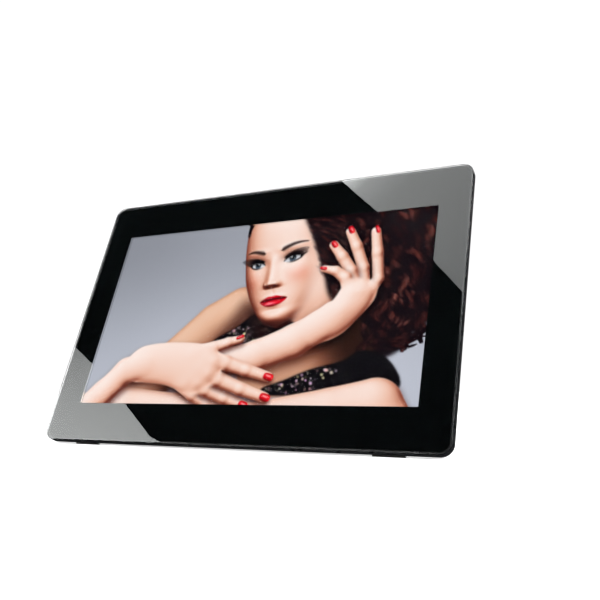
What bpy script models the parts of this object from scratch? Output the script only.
"""Digital photo frame, standing on its fold-out leg. Metres, +Z up, screen towards -Y.

Everything is laid out in the slab's own frame: X to the right, Y from the front face to the back,
Z up the slab from its bottom edge. An empty leans that frame back onto the leg. The layout values
below are millimetres, and new_object turns them into metres.
"""

import math

import bmesh
import bpy
from mathutils import Matrix, Vector

MM = 0.001

# ---- Driving dimensions, in millimetres ----
SCREEN_WIDTH = 222.7  # picture area of a 10.1 inch panel, 16:9
SCREEN_HEIGHT = 125.3
SIDE_BORDER = 19.65
TOP_BORDER = 26.5
BOTTOM_BORDER = 25.2
CORNER_RADIUS = 7.0
LEAN = math.radians(22.5)
PANEL_THICK = 1.8  # clear acrylic front
SLAB_THICK = 5.8  # acrylic and front frame together
SHOULDER_BACK = 12.6  # back of the cover round its raised middle
HUMP_BACK = 25.0  # back of the raised middle
WALL = 2.0
GAP = 0.3  # between pieces that touch
FOOT_DROP = 2.7  # floor below the front face's bottom edge
PIVOT_UP = 90.0  # leg pivot above the slab's bottom edge
LEG_LENGTH = 84.0  # pivot to floor, along the leg

# ---- Worked out from them ----
WIDTH = SCREEN_WIDTH + 2 * SIDE_BORDER
HEIGHT = SCREEN_HEIGHT + TOP_BORDER + BOTTOM_BORDER
SCREEN = (-SCREEN_WIDTH / 2, SCREEN_WIDTH / 2, BOTTOM_BORDER, BOTTOM_BORDER + SCREEN_HEIGHT)

MASK_FRONT = PANEL_THICK + GAP
MASK_BACK = MASK_FRONT + 0.3
TAPE_FRONT = MASK_BACK + GAP
TAPE_BACK = TAPE_FRONT + 0.5
RECESS_FLOOR = TAPE_BACK + GAP
LIP_BACK = RECESS_FLOOR + 0.7
GLASS_FRONT = LIP_BACK + GAP
GLASS_BACK = GLASS_FRONT + 1.1
DIFFUSER_FRONT = GLASS_BACK + GAP
PRISM_FRONT = DIFFUSER_FRONT + 0.2 + GAP
GUIDE_FRONT = PRISM_FRONT + 0.2 + GAP
GUIDE_BACK = GUIDE_FRONT + 2.0
REFLECTOR_FRONT = GUIDE_BACK + GAP
TRAY_FLOOR = REFLECTOR_FRONT + 0.2 + GAP
TRAY_BACK = TRAY_FLOOR + 0.5

# Borders of the display module round the picture: left and right, bottom, top.
MODULE_SIDE = 6.45
MODULE_BOTTOM = 12.0
MODULE_TOP = 5.3
MODULE = (
    SCREEN[0] - MODULE_SIDE,
    SCREEN[1] + MODULE_SIDE,
    SCREEN[2] - MODULE_BOTTOM,
    SCREEN[3] + MODULE_TOP,
)

# The raised middle of the back, and the recess that the leg folds into.
HUMP = (-88.0, 88.0, 12.0, 140.0)
HUMP_INNER_BACK = HUMP_BACK - WALL
RECESS_HALF_WIDTH = 24.0
RECESS_DEEP = 6.5
RECESS_TOP = PIVOT_UP + 9.0
PIVOT_BACK = HUMP_BACK - 3.1
PIN_RADIUS = 1.25
PIN_HALF_LENGTH = 27.0
PIN_BORE = 1.65

# How high the pivot stands when the frame leans, and so how far the leg opens.
PIVOT_HEIGHT = PIVOT_UP * math.cos(LEAN) - PIVOT_BACK * math.sin(LEAN) + FOOT_DROP
LEG_FROM_VERTICAL = math.acos(PIVOT_HEIGHT / LEG_LENGTH)
LEG_OPENING = LEAN + LEG_FROM_VERTICAL
LEG_HALF_THICK = 2.0
LEG_TOP_HALF_WIDTH = 22.4
LEG_END_HALF_WIDTH = 17.0

# Circuit boards behind the display.
BOARD_THICK = 1.2
MAIN_BOARD = (28.0, 84.0, 46.0, 116.0)
MAIN_BOARD_FRONT = 13.6
PARTS_FRONT = MAIN_BOARD_FRONT + BOARD_THICK + GAP
BUTTON_BOARD = (-68.0, 68.0, 120.0, 136.0)
BUTTON_BOARD_FRONT = 14.0
BUTTON_ROW_UP = 128.0
BUTTON_PITCH = 18.0
BUTTON_HALF_WIDTH = 5.5
BUTTON_HALF_HEIGHT = 2.6
BUTTON_PROUD = 1.0
BUTTONS = ("power", "menu", "exit", "next", "play", "previous", "volume")
MAIN_BOARD_SCREWS = ((34.0, 52.0), (34.0, 110.0))
BUTTON_BOARD_SCREWS = ((-64.5, BUTTON_ROW_UP), (64.5, BUTTON_ROW_UP))
BOARD_SCREW_TIP = 19.0
CARD_SLOT_DEEP = 26.0
USB_DEEP = 14.0
JACK_DEEP = 12.0
SWITCH_HALF = 3.0
SWITCH_TALL = 3.5
KEY_STEM_HALF = 1.2

CASE_SCREW_X = (-100.0, 0.0, 100.0)
CASE_SCREW_UP = (7.9, HEIGHT - 10.0)
CASE_BOSS_FRONT = 7.3
CASE_WELL_FLOOR = 9.3

KEYHOLE_X = (-76.0, 76.0)
KEYHOLE_UP = 121.0
KEYHOLE_RADIUS = 4.3
KEYHOLE_SLOT_RADIUS = 2.1
KEYHOLE_SLOT_LONG = 9.0
SCREW_HOLE_RADIUS = 1.5
SCREW_WELL_RADIUS = 2.9
BOARD_HOLE_RADIUS = 1.4
POST_HOLE_RADIUS = 1.3

SPEAKER_X = (-62.0, 62.0)
SPEAKER_UP = 30.0
SPEAKER_RADIUS = 13.5
SPEAKER_SLOT_RADIUS = 12.0
SPEAKER_SLOT_PITCH = 3.4
SPEAKER_SLOT_HALF = 0.7
VENT_X = (55.0, -55.0)
VENT_LONG = 42.0
VENT_TALL = 1.8
VENT_PITCH = 5.0
VENT_ROWS = 8
VENT_FIRST_UP = 64.0

FOOT_X = (-98.0, 98.0)
FOOT_LONG = 18.0
IR_X = 60.0
IR_UP = 8.0

FINE = 8  # steps in a corner that shows
COARSE = 3  # steps in a small or hidden corner
ROUND = 16  # sides of a small cylinder


# ---- Outlines, as lists of (across, up) points ----
def corner_rect(bounds, radius, steps):
    """A rectangle (low x, high x, low z, high z) with rounded corners."""
    low_x, high_x, low_z, high_z = bounds
    centres = (
        (high_x - radius, high_z - radius, 0.0),
        (low_x + radius, high_z - radius, 90.0),
        (low_x + radius, low_z + radius, 180.0),
        (high_x - radius, low_z + radius, 270.0),
    )
    points = []
    for x, z, start in centres:
        for step in range(steps + 1):
            angle = math.radians(start + 90.0 * step / steps)
            points.append((x + radius * math.cos(angle), z + radius * math.sin(angle)))
    return points


def grown(bounds, by):
    low_x, high_x, low_z, high_z = bounds
    return (low_x - by, high_x + by, low_z - by, high_z + by)


def slab_outline(inset, steps=FINE):
    bounds = grown((-WIDTH / 2, WIDTH / 2, 0.0, HEIGHT), -inset)
    return corner_rect(bounds, max(CORNER_RADIUS - inset, 1.5), steps)


def circle(x, z, radius, sides=ROUND):
    turn = 2 * math.pi / sides
    return [
        (x + radius * math.cos(turn * k), z + radius * math.sin(turn * k)) for k in range(sides)
    ]


def keyhole(x, z):
    """A round hole for a screw's head with a slot above it for the screw's neck."""
    meet = math.asin(KEYHOLE_SLOT_RADIUS / KEYHOLE_RADIUS)
    points = []
    for step in range(ROUND + 1):
        angle = math.pi / 2 + meet + (2 * math.pi - 2 * meet) * step / ROUND
        points.append((x + KEYHOLE_RADIUS * math.cos(angle), z + KEYHOLE_RADIUS * math.sin(angle)))
    for step in range(COARSE * 2 + 1):
        angle = math.pi * step / (COARSE * 2)
        across = KEYHOLE_SLOT_RADIUS * math.cos(angle)
        points.append((x + across, z + KEYHOLE_SLOT_LONG + KEYHOLE_SLOT_RADIUS * math.sin(angle)))
    return points


# ---- Solids, added to a bmesh ----
def rings_at(bm, loops, axis):
    """Puts each (outline, distance along axis) into the mesh and returns its vertices."""
    made = []
    for outline, along in loops:
        if axis == "Y":
            made.append([bm.verts.new((a, along, b)) for a, b in outline])
        else:
            made.append([bm.verts.new((along, a, b)) for a, b in outline])
    return made


def bridge(bm, first, second):
    count = len(first)
    for k in range(count):
        bm.faces.new((first[k], first[(k + 1) % count], second[(k + 1) % count], second[k]))


def add_loft(bm, loops, axis="Y"):
    """A closed solid through outlines of equal length, flat at both ends."""
    rings = rings_at(bm, loops, axis)
    for first, second in zip(rings, rings[1:]):
        bridge(bm, first, second)
    bm.faces.new(rings[0])
    bm.faces.new(list(reversed(rings[-1])))


def add_ring(bm, loops):
    """A closed frame: the outlines are its profile, and the last one joins the first."""
    rings = rings_at(bm, loops, "Y")
    for first, second in zip(rings, rings[1:] + rings[:1]):
        bridge(bm, first, second)


def add_prism(bm, outline, start, end, axis="Y"):
    add_loft(bm, ((outline, start), (outline, end)), axis)


def add_box(bm, bounds, front, back):
    low_x, high_x, low_z, high_z = bounds
    corners = ((low_x, low_z), (high_x, low_z), (high_x, high_z), (low_x, high_z))
    add_prism(bm, corners, front, back)


# ---- Objects ----
def clear_scene():
    for old in list(bpy.data.objects):
        bpy.data.objects.remove(old, do_unlink=True)


def material(name, colour, roughness, metallic=0.0, alpha=1.0):
    made = bpy.data.materials.get(name)
    if made:
        return made
    made = bpy.data.materials.new(name)
    made.use_nodes = True
    shader = made.node_tree.nodes["Principled BSDF"]
    shader.inputs["Base Color"].default_value = (*colour, 1.0)
    shader.inputs["Roughness"].default_value = roughness
    shader.inputs["Metallic"].default_value = metallic
    shader.inputs["Alpha"].default_value = alpha
    made.diffuse_color = (*colour, alpha)
    return made


def gloss_black():
    return material("gloss_black", (0.01, 0.01, 0.012), 0.08)


def clear_acrylic():
    return material("clear_acrylic", (0.9, 0.92, 0.93), 0.03, alpha=0.3)


def case_black():
    return material("case_black", (0.022, 0.022, 0.024), 0.5)


def key_black():
    return material("key_black", (0.03, 0.03, 0.033), 0.35)


def rubber_black():
    return material("rubber_black", (0.03, 0.03, 0.03), 0.85)


def display_glass():
    return material("display_glass", (0.35, 0.36, 0.4), 0.1)


def optical_white():
    return material("optical_white", (0.85, 0.86, 0.88), 0.4)


def sheet_steel():
    return material("sheet_steel", (0.6, 0.6, 0.61), 0.35, 1.0)


def screw_steel():
    return material("screw_steel", (0.35, 0.35, 0.36), 0.35, 1.0)


def board_green():
    return material("board_green", (0.02, 0.16, 0.07), 0.45)


def chip_black():
    return material("chip_black", (0.03, 0.03, 0.032), 0.55)


def foam_grey():
    return material("foam_grey", (0.12, 0.12, 0.12), 0.9)


def cable_white():
    return material("cable_white", (0.8, 0.8, 0.78), 0.45)


def new_object(name, bm, finish, parent, smooth=False):
    """Makes the object from a bmesh laid out in millimetres, facing outwards."""
    bm.transform(Matrix.Scale(MM, 4))
    bmesh.ops.recalc_face_normals(bm, faces=bm.faces)
    mesh = bpy.data.meshes.new(name)
    bm.to_mesh(mesh)
    bm.free()
    if smooth:
        mesh.shade_smooth()
        mesh.set_sharp_from_angle(angle=math.radians(35))
    made = bpy.data.objects.new(name, mesh)
    bpy.context.scene.collection.objects.link(made)
    made.parent = parent
    if finish:
        made.data.materials.append(finish)
    return made


def helper(name, bm, parent):
    """A hidden shape that a Boolean uses."""
    made = new_object(name, bm, None, parent)
    made.hide_render = True
    made.display_type = "WIRE"
    return made


def boolean(target, tool, operation):
    made = target.modifiers.new(f"{operation.lower()}_{tool.name}", "BOOLEAN")
    made.operation = operation
    made.solver = "EXACT"
    made.object = tool


def empty(name, parent, place, turn):
    made = bpy.data.objects.new(name, None)
    made.empty_display_size = 0.02
    bpy.context.scene.collection.objects.link(made)
    made.parent = parent
    made.location = Vector(place) * MM
    made.rotation_euler = (turn, 0.0, 0.0)
    return made


# ---- Front ----
def front_panel(slab):
    edge = 0.4
    bm = bmesh.new()
    loops = (
        (slab_outline(edge), 0.0),
        (slab_outline(0.1), 0.1),
        (slab_outline(0.0), edge),
        (slab_outline(0.0), PANEL_THICK),
    )
    add_loft(bm, loops)
    new_object("front_panel", bm, clear_acrylic(), slab, smooth=True)


def bezel_mask(slab):
    outer = slab_outline(1.7)
    window = corner_rect(SCREEN, 0.3, FINE)
    bm = bmesh.new()
    add_ring(bm, ((outer, MASK_FRONT), (outer, MASK_BACK), (window, MASK_BACK), (window, MASK_FRONT)))
    new_object("bezel_mask", bm, gloss_black(), slab)


def front_tape(slab):
    outer = slab_outline(1.8, COARSE)
    inner = slab_outline(4.8, COARSE)
    bm = bmesh.new()
    add_ring(bm, ((outer, TAPE_FRONT), (outer, TAPE_BACK), (inner, TAPE_BACK), (inner, TAPE_FRONT)))
    new_object("front_tape", bm, foam_grey(), slab)


def front_frame(slab):
    """The moulded frame behind the acrylic: a rim, a land for the tape and a pocket for the display."""
    pocket_wall = 1.5
    pocket_back = TRAY_FLOOR - GAP
    edge = 0.4
    pocket = corner_rect(grown(MODULE, GAP), 1.5, FINE)
    pocket_outer = corner_rect(grown(MODULE, GAP + pocket_wall), 2.5, FINE)
    window = corner_rect(grown(SCREEN, 1.5), 1.0, FINE)
    recess = slab_outline(1.4)
    bm = bmesh.new()
    loops = (
        (slab_outline(0.0), PANEL_THICK + GAP),
        (slab_outline(0.0), SLAB_THICK - edge),
        (slab_outline(edge), SLAB_THICK),
        (pocket_outer, SLAB_THICK),
        (pocket_outer, pocket_back),
        (pocket, pocket_back),
        (pocket, LIP_BACK),
        (window, LIP_BACK),
        (window, RECESS_FLOOR),
        (recess, RECESS_FLOOR),
        (recess, PANEL_THICK + GAP),
    )
    add_ring(bm, loops)
    frame = new_object("front_frame", bm, case_black(), slab, smooth=True)

    bosses = bmesh.new()
    holes = bmesh.new()
    for x in CASE_SCREW_X:
        for up in CASE_SCREW_UP:
            add_prism(bosses, circle(x, up, 3.0), SLAB_THICK - 0.5, CASE_BOSS_FRONT - GAP)
            add_prism(holes, circle(x, up, 1.2, 12), LIP_BACK, CASE_BOSS_FRONT + 1.0)
    ir_half = 3.1
    ir_bounds = (IR_X - ir_half, IR_X + ir_half, IR_UP - ir_half, IR_UP + ir_half)
    add_box(holes, ir_bounds, RECESS_FLOOR - 1.0, SLAB_THICK + 1.0)
    boolean(frame, helper("cutter_frame_bosses", bosses, slab), "UNION")
    boolean(frame, helper("cutter_frame_holes", holes, slab), "DIFFERENCE")


# ---- Display module ----
def display_module(slab):
    film = grown(MODULE, -4.2)
    film_low = MODULE[2] + 8.8
    film_bounds = (film[0], film[1], film_low, film[3] + 1.6)
    films = (
        ("diffuser_film", DIFFUSER_FRONT),
        ("prism_film", PRISM_FRONT),
        ("reflector_film", REFLECTOR_FRONT),
    )
    glass_bounds = (MODULE[0] + 3.2, MODULE[1] - 3.2, MODULE[2] + 4.3, MODULE[3] - 2.0)
    bm = bmesh.new()
    add_box(bm, glass_bounds, GLASS_FRONT, GLASS_BACK)
    new_object("lcd_glass", bm, display_glass(), slab)
    for name, front in films:
        bm = bmesh.new()
        add_box(bm, film_bounds, front, front + 0.2)
        new_object(name, bm, optical_white(), slab)

    guide_low = film_low + 1.6
    bm = bmesh.new()
    add_box(bm, (film[0], film[1], guide_low, film[3] + 1.6), GUIDE_FRONT, GUIDE_BACK)
    new_object("light_guide", bm, optical_white(), slab)

    led_strip(slab, film_low - 3.4, guide_low - GAP)
    mould_frame(slab, (film[0], film[1], film_low - 3.9, film[3] + 1.6))
    backlight_tray(slab)

    bm = bmesh.new()
    add_box(bm, (-70.0, 70.0, 15.6, 26.0), TRAY_BACK + GAP, TRAY_BACK + GAP + 0.8)
    new_object("driver_board", bm, board_green(), slab)


def led_strip(slab, low, high):
    """A strip with a row of light-emitting diodes standing towards the light guide's edge."""
    count = 18
    strip_high = low + 1.2
    half = 111.0
    led_half = 1.6
    outline = [(-half, low), (half, low), (half, strip_high)]
    for k in range(count):
        x = half - (2 * half) * (k + 0.5) / count
        outline += [(x + led_half, strip_high), (x + led_half, high)]
        outline += [(x - led_half, high), (x - led_half, strip_high)]
    outline.append((-half, strip_high))
    bm = bmesh.new()
    add_prism(bm, outline, GUIDE_FRONT + 0.3, GUIDE_BACK - 0.3)
    new_object("led_strip", bm, optical_white(), slab)


def mould_frame(slab, inside):
    outer = corner_rect(grown(MODULE, -0.8), 1.0, COARSE)
    inner = corner_rect(grown(inside, GAP), 0.8, COARSE)
    back = TRAY_FLOOR - GAP
    bm = bmesh.new()
    add_ring(bm, ((outer, DIFFUSER_FRONT), (outer, back), (inner, back), (inner, DIFFUSER_FRONT)))
    new_object("lcd_mould_frame", bm, optical_white(), slab)


def backlight_tray(slab):
    outer = corner_rect(MODULE, 1.2, COARSE)
    inner = corner_rect(grown(MODULE, -0.5), 0.8, COARSE)
    bm = bmesh.new()
    loops = ((outer, TRAY_BACK), (outer, DIFFUSER_FRONT), (inner, DIFFUSER_FRONT), (inner, TRAY_FLOOR))
    add_loft(bm, loops)
    new_object("backlight_tray", bm, sheet_steel(), slab)


# ---- Rear cover ----
def shoulder(inset_side, inset_flat, front, start, back, steps):
    """The cover's side as (inset, depth): straight from the front, then a quarter of an ellipse."""
    points = [(inset_side, front)]
    for step in range(steps + 1):
        angle = math.radians(90.0 * step / steps)
        inset = inset_flat - (inset_flat - inset_side) * math.cos(angle)
        points.append((inset, start + (back - start) * math.sin(angle)))
    return points


def rear_cover(slab):
    front = SLAB_THICK + GAP
    outer = shoulder(1.5, 7.5, front, front + 0.9, SHOULDER_BACK, 5)
    inner = shoulder(1.5 + WALL, 7.5, front, front + 0.9, SHOULDER_BACK - WALL, 4)
    bm = bmesh.new()
    loops = [(slab_outline(inset), depth) for inset, depth in reversed(outer)]
    loops += [(slab_outline(inset), depth) for inset, depth in inner]
    add_loft(bm, loops)
    cover = new_object("rear_cover", bm, case_black(), slab, smooth=True)

    boolean(cover, hump_outside(slab), "UNION")
    boolean(cover, hump_inside(slab), "DIFFERENCE")
    boolean(cover, cover_posts(slab), "UNION")
    boolean(cover, leg_tub(slab), "UNION")
    boolean(cover, leg_recess(slab), "DIFFERENCE")
    boolean(cover, pin_bore(slab), "DIFFERENCE")
    boolean(cover, cover_openings(slab), "DIFFERENCE")
    boolean(cover, screw_holes(slab), "DIFFERENCE")


def hump_outside(slab):
    base = SHOULDER_BACK - 1.0
    bm = bmesh.new()
    loops = (
        (corner_rect(HUMP, 10.0, 6), base),
        (corner_rect(grown(HUMP, -0.5), 9.5, 6), HUMP_BACK - 1.8),
        (corner_rect(grown(HUMP, -1.0), 9.0, 6), HUMP_BACK - 0.6),
        (corner_rect(grown(HUMP, -2.2), 7.8, 6), HUMP_BACK),
    )
    add_loft(bm, loops)
    return helper("cutter_hump_outside", bm, slab)


def hump_inside(slab):
    bm = bmesh.new()
    outline = corner_rect(grown(HUMP, -WALL - 0.6), 7.5, 4)
    add_prism(bm, outline, SHOULDER_BACK - WALL - 1.0, HUMP_INNER_BACK)
    return helper("cutter_hump_inside", bm, slab)


def cover_posts(slab):
    """Bosses for the case screws, and posts that carry the two boards."""
    bm = bmesh.new()
    for x in CASE_SCREW_X:
        for up in CASE_SCREW_UP:
            add_prism(bm, circle(x, up, 3.4), CASE_BOSS_FRONT, SHOULDER_BACK - 1.0)
    for x, up in MAIN_BOARD_SCREWS:
        add_prism(bm, circle(x, up, 2.6, 12), PARTS_FRONT, HUMP_BACK - 1.0)
    for x, up in BUTTON_BOARD_SCREWS:
        front = BUTTON_BOARD_FRONT + BOARD_THICK + GAP
        add_prism(bm, circle(x, up, 2.6, 12), front, HUMP_BACK - 1.0)
    return helper("cutter_cover_posts", bm, slab)


def leg_tub(slab):
    """The walls round the recess, standing on the inside of the back."""
    bm = bmesh.new()
    side = RECESS_HALF_WIDTH + WALL
    bounds = (-side, side, HUMP[2] + 1.2, RECESS_TOP + WALL)
    add_box(bm, bounds, HUMP_BACK - RECESS_DEEP - WALL, HUMP_BACK - 0.8)
    return helper("cutter_leg_tub", bm, slab)


def leg_recess(slab):
    bm = bmesh.new()
    bounds = (-RECESS_HALF_WIDTH, RECESS_HALF_WIDTH, HUMP[2] - 5.0, RECESS_TOP)
    add_box(bm, bounds, HUMP_BACK - RECESS_DEEP, HUMP_BACK + 5.0)
    return helper("cutter_leg_recess", bm, slab)


def pin_bore(slab):
    bm = bmesh.new()
    reach = RECESS_HALF_WIDTH + WALL + 1.0
    add_prism(bm, circle(PIVOT_BACK, PIVOT_UP, PIN_BORE), -reach, reach, "X")
    return helper("cutter_pin_bore", bm, slab)


def button_x(index):
    return (index - (len(BUTTONS) - 1) / 2) * BUTTON_PITCH


def cover_openings(slab):
    """Button holes, keyholes, vents, speaker grilles and port windows."""
    front = HUMP_INNER_BACK - 1.0
    back = HUMP_BACK + 1.0
    bm = bmesh.new()
    for index in range(len(BUTTONS)):
        x = button_x(index)
        key = (x - BUTTON_HALF_WIDTH, x + BUTTON_HALF_WIDTH)
        bounds = (*key, BUTTON_ROW_UP - BUTTON_HALF_HEIGHT, BUTTON_ROW_UP + BUTTON_HALF_HEIGHT)
        add_prism(bm, corner_rect(grown(bounds, GAP), 1.7, COARSE), front, back)
    for x in KEYHOLE_X:
        add_prism(bm, keyhole(x, KEYHOLE_UP), front, back)
    for x in VENT_X:
        for row in range(VENT_ROWS):
            low = VENT_FIRST_UP + row * VENT_PITCH
            half = VENT_LONG / 2
            add_box(bm, (x - half, x + half, low, low + VENT_TALL), front, back)
    for x in SPEAKER_X:
        for row in range(-3, 4):
            off = row * SPEAKER_SLOT_PITCH
            half = math.sqrt(SPEAKER_SLOT_RADIUS**2 - off**2)
            low = SPEAKER_UP + off - SPEAKER_SLOT_HALF
            high = SPEAKER_UP + off + SPEAKER_SLOT_HALF
            add_box(bm, (x - half, x + half, low, high), front, back)
    outside = HUMP[1] + 1.0
    inside = HUMP[1] - WALL - 1.5
    for name, low, high, tall in ports():
        outline = ((PARTS_FRONT - GAP, low - GAP), (PARTS_FRONT + tall + GAP, low - GAP))
        outline += ((PARTS_FRONT + tall + GAP, high + GAP), (PARTS_FRONT - GAP, high + GAP))
        add_prism(bm, outline, inside, outside, "X")
    return helper("cutter_cover_openings", bm, slab)


def screw_holes(slab):
    bm = bmesh.new()
    for x in CASE_SCREW_X:
        for up in CASE_SCREW_UP:
            loops = (
                (circle(x, up, SCREW_HOLE_RADIUS), CASE_BOSS_FRONT - 1.0),
                (circle(x, up, SCREW_HOLE_RADIUS), CASE_WELL_FLOOR),
                (circle(x, up, SCREW_WELL_RADIUS), CASE_WELL_FLOOR),
                (circle(x, up, SCREW_WELL_RADIUS), SHOULDER_BACK + 1.0),
            )
            add_loft(bm, loops)
    for x, up in MAIN_BOARD_SCREWS + BUTTON_BOARD_SCREWS:
        add_prism(bm, circle(x, up, POST_HOLE_RADIUS, 12), MAIN_BOARD_FRONT, BOARD_SCREW_TIP + 1.0)
    return helper("cutter_screw_holes", bm, slab)


# ---- Electronics ----
def ports():
    """(name, low z, high z, height off the board) of each connector on the board's edge."""
    return (
        ("sd_card_slot", 47.5, 75.5, 3.2),
        ("usb_port", 78.5, 93.0, 6.8),
        ("headphone_jack", 95.5, 102.0, 5.2),
        ("dc_jack", 104.5, 113.5, 6.8),
    )


def main_board(slab):
    bm = bmesh.new()
    add_box(bm, MAIN_BOARD, MAIN_BOARD_FRONT, MAIN_BOARD_FRONT + BOARD_THICK)
    board = new_object("main_board", bm, board_green(), slab)
    holes = bmesh.new()
    for x, up in MAIN_BOARD_SCREWS:
        add_prism(holes, circle(x, up, BOARD_HOLE_RADIUS, 12), MAIN_BOARD_FRONT - 1.0, PARTS_FRONT + 1.0)
    boolean(board, helper("cutter_main_board", holes, slab), "DIFFERENCE")

    chips = (
        ("processor", (42.0, 56.0, 82.0, 96.0), 1.4),
        ("flash_memory", (41.0, 53.0, 60.0, 68.0), 1.1),
    )
    for name, bounds, tall in chips:
        bm = bmesh.new()
        add_box(bm, bounds, PARTS_FRONT, PARTS_FRONT + tall)
        new_object(name, bm, chip_black(), slab)


def connectors(slab):
    face = HUMP[1] - 0.6
    for name, low, high, tall in ports():
        deep = {"sd_card_slot": CARD_SLOT_DEEP, "usb_port": USB_DEEP}.get(name, JACK_DEEP)
        finish = chip_black() if deep == JACK_DEEP else sheet_steel()
        bm = bmesh.new()
        add_box(bm, (face - deep, face, low, high), PARTS_FRONT, PARTS_FRONT + tall)
        shell = new_object(name, bm, finish, slab)
        mouth = bmesh.new()
        middle = PARTS_FRONT + tall / 2
        centre = (low + high) / 2
        if name == "sd_card_slot":
            add_box(mouth, (face - 22.0, face + 1.0, low + 1.8, high - 1.8), middle - 1.1, middle + 1.1)
        elif name == "usb_port":
            usb_mouth(mouth, face, low, high, tall)
        else:
            radius = 1.8 if name == "headphone_jack" else 2.8
            add_prism(mouth, circle(middle, centre, radius), face - 9.0, face + 1.0, "X")
        boolean(shell, helper(f"cutter_{name}", mouth, slab), "DIFFERENCE")
        if name == "dc_jack":
            pin = bmesh.new()
            add_prism(pin, circle(middle, centre, 0.9, 12), face - 10.0, face - 1.5, "X")
            boolean(shell, helper("cutter_dc_pin", pin, slab), "UNION")


def usb_mouth(bm, face, low, high, tall):
    """A C-shaped mouth that leaves the tongue, which is joined to the shell at the back."""
    shell = 0.7
    tongue = 1.8
    front = PARTS_FRONT + shell
    back = PARTS_FRONT + tall - shell
    left = low + shell
    right = high - shell
    side = 1.0
    outline = (
        (front, left),
        (back, left),
        (back, right),
        (front, right),
        (front, right - side),
        (front + tongue, right - side),
        (front + tongue, left + side),
        (front, left + side),
    )
    add_prism(bm, outline, face - 12.0, face + 1.0, "X")


def display_cable(slab):
    """A flat cable that leaves the driver board, rises past the speaker and meets the main board."""
    half_thick = 0.15
    start = TRAY_BACK + GAP + 0.8 + GAP + half_thick
    end = MAIN_BOARD_FRONT - GAP - half_thick
    path = [Vector((start, 20.0)), Vector((start, 32.0))]
    steps = 6
    for step in range(1, steps):
        share = step / steps
        swing = (1 - math.cos(math.pi * share)) / 2
        path.append(Vector((start + (end - start) * swing, 32.0 + 12.0 * share)))
    path += [Vector((end, 44.0)), Vector((end, 54.0))]
    left = []
    right = []
    for k, point in enumerate(path):
        along = (path[min(k + 1, len(path) - 1)] - path[max(k - 1, 0)]).normalized()
        across = Vector((along.y, -along.x)) * half_thick
        left.append(tuple(point + across))
        right.append(tuple(point - across))
    bm = bmesh.new()
    add_prism(bm, left + right[::-1], 42.0, 62.0, "X")
    new_object("display_cable", bm, cable_white(), slab)


def speakers(slab):
    for name, x in zip(("speaker_left", "speaker_right"), SPEAKER_X):
        rim_back = HUMP_INNER_BACK - GAP
        profile = (
            (7.0, TRAY_BACK + 3.6),
            (7.0, TRAY_BACK + 7.0),
            (11.5, rim_back - 2.0),
            (SPEAKER_RADIUS, rim_back - 2.0),
            (SPEAKER_RADIUS, rim_back),
            (11.8, rim_back),
            (5.0, rim_back - 2.6),
            (2.0, rim_back - 2.0),
        )
        bm = bmesh.new()
        add_loft(bm, [(circle(x, SPEAKER_UP, radius, 24), depth) for radius, depth in profile])
        new_object(name, bm, chip_black(), slab, smooth=True)


def buttons_and_switches(slab):
    board_back = BUTTON_BOARD_FRONT + BOARD_THICK
    bm = bmesh.new()
    add_box(bm, BUTTON_BOARD, BUTTON_BOARD_FRONT, board_back)
    board = new_object("button_board", bm, board_green(), slab)
    holes = bmesh.new()
    for x, up in BUTTON_BOARD_SCREWS:
        add_prism(holes, circle(x, up, BOARD_HOLE_RADIUS, 12), BUTTON_BOARD_FRONT - 1.0, board_back + 1.0)
    boolean(board, helper("cutter_button_board", holes, slab), "DIFFERENCE")

    switch_front = board_back + GAP
    switch_back = switch_front + SWITCH_TALL
    low = BUTTON_ROW_UP - SWITCH_HALF
    high = BUTTON_ROW_UP + SWITCH_HALF
    flange_back = HUMP_INNER_BACK - GAP
    flange_front = flange_back - 0.8
    for index, use in enumerate(BUTTONS):
        x = button_x(index)
        bm = bmesh.new()
        add_box(bm, (x - SWITCH_HALF, x + SWITCH_HALF, low, high), switch_front, switch_back)
        switch = new_object(f"switch_{use}", bm, chip_black(), slab)
        bore = bmesh.new()
        add_prism(bore, circle(x, BUTTON_ROW_UP, 1.9, 12), switch_back - 1.5, switch_back + 1.0)
        boolean(switch, helper(f"cutter_switch_{use}", bore, slab), "DIFFERENCE")

        press = empty(f"press_{use}", slab, (x, flange_front, BUTTON_ROW_UP), 0.0)
        cap = (-BUTTON_HALF_WIDTH, BUTTON_HALF_WIDTH, -BUTTON_HALF_HEIGHT, BUTTON_HALF_HEIGHT)
        stem_bounds = (-KEY_STEM_HALF, KEY_STEM_HALF, -KEY_STEM_HALF, KEY_STEM_HALF)
        stem = corner_rect(stem_bounds, 0.8, COARSE)
        flange = corner_rect(grown(cap, 1.0), 1.6, COARSE)
        proud = HUMP_BACK + BUTTON_PROUD
        loops = (
            (stem, switch_back - 0.4),
            (stem, flange_front),
            (flange, flange_front),
            (flange, flange_back),
            (corner_rect(cap, 1.4, COARSE), flange_back),
            (corner_rect(cap, 1.4, COARSE), proud - 0.4),
            (corner_rect(grown(cap, -0.4), 1.1, COARSE), proud),
        )
        bm = bmesh.new()
        add_loft(bm, [(outline, depth - flange_front) for outline, depth in loops])
        new_object(f"button_{use}", bm, key_black(), press, smooth=True)


def infrared_receiver(slab):
    half = 2.7
    bm = bmesh.new()
    bounds = (IR_X - half, IR_X + half, IR_UP - half, IR_UP + half)
    add_box(bm, bounds, RECESS_FLOOR + 0.1, SLAB_THICK + 0.8)
    new_object("ir_receiver", bm, chip_black(), slab)
    bm = bmesh.new()
    front = SLAB_THICK + 0.8 + GAP
    add_box(bm, (IR_X - 7.0, IR_X + 7.0, IR_UP - 3.2, IR_UP + 2.9), front, front + 0.8)
    new_object("ir_board", bm, board_green(), slab)


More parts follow.
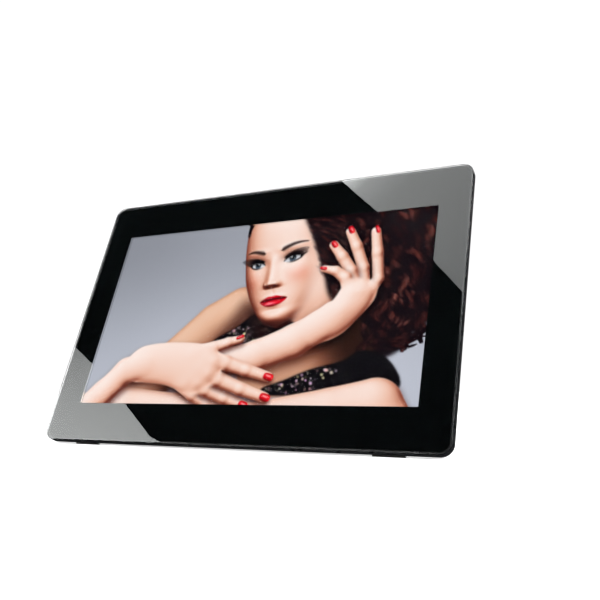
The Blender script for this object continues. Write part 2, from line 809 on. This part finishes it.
# ---- Fasteners ----
def screw(name, slab, place, head, shank):
    """A cross-head screw along Y. head is (outer end, underside, radius), shank is (tip, radius)."""
    x, up = place
    top, under, head_radius = head
    tip, radius = shank
    away = 1.0 if top > under else -1.0
    loops = (
        (circle(x, up, head_radius * 0.8, 12), top),
        (circle(x, up, head_radius, 12), top - away * 0.35),
        (circle(x, up, head_radius, 12), under),
        (circle(x, up, radius, 12), under),
        (circle(x, up, radius, 12), tip),
    )
    bm = bmesh.new()
    add_loft(bm, loops)
    made = new_object(name, bm, screw_steel(), slab, smooth=True)
    arm = head_radius * 0.55
    slot = 0.35
    cross = (
        (arm, slot), (slot, slot), (slot, arm), (-slot, arm), (-slot, slot), (-arm, slot),
        (-arm, -slot), (-slot, -slot), (-slot, -arm), (slot, -arm), (slot, -slot), (arm, -slot),
    )
    bm = bmesh.new()
    outline = [(x + a, up + b) for a, b in cross]
    add_prism(bm, outline, top - away * 0.7, top + away * 0.5)
    boolean(made, helper(f"cutter_{name}", bm, slab), "DIFFERENCE")


def fasteners(slab):
    number = 0
    for up in CASE_SCREW_UP:
        for x in CASE_SCREW_X:
            number += 1
            under = CASE_WELL_FLOOR + GAP
            screw(f"case_screw_{number}", slab, (x, up), (under + 1.5, under, 2.4), (4.6, 0.85))
    boards = (
        (MAIN_BOARD_SCREWS, MAIN_BOARD_FRONT),
        (BUTTON_BOARD_SCREWS, BUTTON_BOARD_FRONT),
    )
    number = 0
    for places, front in boards:
        for place in places:
            number += 1
            under = front - GAP
            screw(f"board_screw_{number}", slab, place, (under - 1.2, under, 2.2), (BOARD_SCREW_TIP, 0.9))


# ---- Stand ----
def stand(slab):
    pivot = empty("stand_pivot", slab, (0.0, PIVOT_BACK, PIVOT_UP), LEG_OPENING)
    stand_leg(pivot)
    leg_pad(pivot)
    bm = bmesh.new()
    add_prism(bm, circle(PIVOT_BACK, PIVOT_UP, PIN_RADIUS), -PIN_HALF_LENGTH, PIN_HALF_LENGTH, "X")
    new_object("hinge_pin", bm, screw_steel(), slab, smooth=True)
    for name, side in (("washer_left", -1.0), ("washer_right", 1.0)):
        bm = bmesh.new()
        near = LEG_TOP_HALF_WIDTH + GAP
        outer = circle(PIVOT_BACK, PIVOT_UP, 2.9)
        hole = circle(PIVOT_BACK, PIVOT_UP, PIN_BORE)
        ends = (side * near, side * (near + 1.0))
        rings = rings_at(bm, ((outer, ends[0]), (outer, ends[1]), (hole, ends[1]), (hole, ends[0])), "X")
        for first, second in zip(rings, rings[1:] + rings[:1]):
            bridge(bm, first, second)
        new_object(name, bm, sheet_steel(), slab, smooth=True)


def floor_under(back):
    """Where the floor lies down the leg, at a point that far behind the leg's centre line."""
    lean = LEG_FROM_VERTICAL
    return -(PIVOT_HEIGHT + back * math.sin(lean)) / math.cos(lean)


def stand_leg(pivot):
    """The leg hangs down from its barrel. A heel above the barrel meets the recess's floor when open."""
    end = -LEG_LENGTH + 5.0
    barrel_radius = 2.9
    shoulder_down = -10.0
    top = LEG_TOP_HALF_WIDTH
    low = LEG_END_HALF_WIDTH
    corner = 4.0
    outline = [(top, 0.0), (-top, 0.0), (-top, shoulder_down), (-low, end + corner)]
    for step in range(1, COARSE + 1):
        angle = math.radians(90.0 * step / COARSE)
        outline.append((-low + corner * (1 - math.cos(angle)), end + corner * (1 - math.sin(angle))))
    outline += [(-x, z) for x, z in reversed(outline[3:])]
    outline.append((top, shoulder_down))
    bm = bmesh.new()
    add_prism(bm, outline, -LEG_HALF_THICK, LEG_HALF_THICK)
    leg = new_object("stand_leg", bm, case_black(), pivot, smooth=True)

    bm = bmesh.new()
    add_prism(bm, circle(0.0, 0.0, barrel_radius), -top, top, "X")
    boolean(leg, helper("cutter_leg_barrel", bm, pivot), "UNION")

    heel_front = -(PIVOT_BACK - (HUMP_BACK - RECESS_DEEP) - GAP)
    opened = ((heel_front, 0.2), (heel_front, 5.0), (heel_front + 1.8, 5.0), (heel_front + 2.4, 0.2))
    turn = Matrix.Rotation(-LEG_OPENING, 2)
    heel = [tuple(turn @ Vector(point)) for point in opened]
    bm = bmesh.new()
    add_prism(bm, heel, -top + 4.0, top - 4.0, "X")
    boolean(leg, helper("cutter_leg_heel", bm, pivot), "UNION")

    bm = bmesh.new()
    add_prism(bm, circle(0.0, 0.0, PIN_BORE), -top - 1.0, top + 1.0, "X")
    boolean(leg, helper("cutter_leg_bore", bm, pivot), "DIFFERENCE")

    bm = bmesh.new()
    add_prism(bm, corner_rect((-11.0, 11.0, end + 14.0, -14.0), 3.0, COARSE), 0.9, 5.0)
    boolean(leg, helper("cutter_leg_relief", bm, pivot), "DIFFERENCE")


def leg_pad(pivot):
    """The rubber end of the leg, cut level so that it lies flat on the floor when the leg is open."""
    top = -LEG_LENGTH + 5.0 - GAP
    front = -LEG_HALF_THICK
    back = LEG_HALF_THICK + 0.4
    outline = ((front, top), (back, top), (back, floor_under(back)), (front, floor_under(front)))
    bm = bmesh.new()
    add_prism(bm, outline, -LEG_END_HALF_WIDTH + 2.0, LEG_END_HALF_WIDTH - 2.0, "X")
    new_object("leg_pad", bm, rubber_black(), pivot)


def rubber_feet(slab):
    """Wedges under the rim, level when the slab leans."""
    front = SLAB_THICK - 2.2
    back = SLAB_THICK - 0.2
    for name, x in zip(("foot_left", "foot_right"), FOOT_X):
        outline = [(front, -GAP), (back, -GAP)]
        for depth in (back, front):
            outline.append((depth, (depth * math.sin(LEAN) - FOOT_DROP) / math.cos(LEAN)))
        bm = bmesh.new()
        add_prism(bm, outline, x - FOOT_LONG / 2, x + FOOT_LONG / 2, "X")
        new_object(name, bm, rubber_black(), slab)


def stand_on_origin(slab):
    """Moves the slab so that the origin is under the middle of everything, on the floor."""
    bpy.context.view_layer.update()
    depths = []
    for made in bpy.data.objects:
        if made.type == "MESH" and not made.hide_render:
            depths += [(made.matrix_world @ Vector(corner)).y for corner in made.bound_box]
    slab.location.y -= (min(depths) + max(depths)) / 2


def main():
    clear_scene()
    slab = empty("slab", None, (0.0, 0.0, FOOT_DROP), -LEAN)
    front_panel(slab)
    bezel_mask(slab)
    front_tape(slab)
    front_frame(slab)
    display_module(slab)
    rear_cover(slab)
    main_board(slab)
    connectors(slab)
    display_cable(slab)
    speakers(slab)
    buttons_and_switches(slab)
    infrared_receiver(slab)
    fasteners(slab)
    stand(slab)
    rubber_feet(slab)
    stand_on_origin(slab)


main()
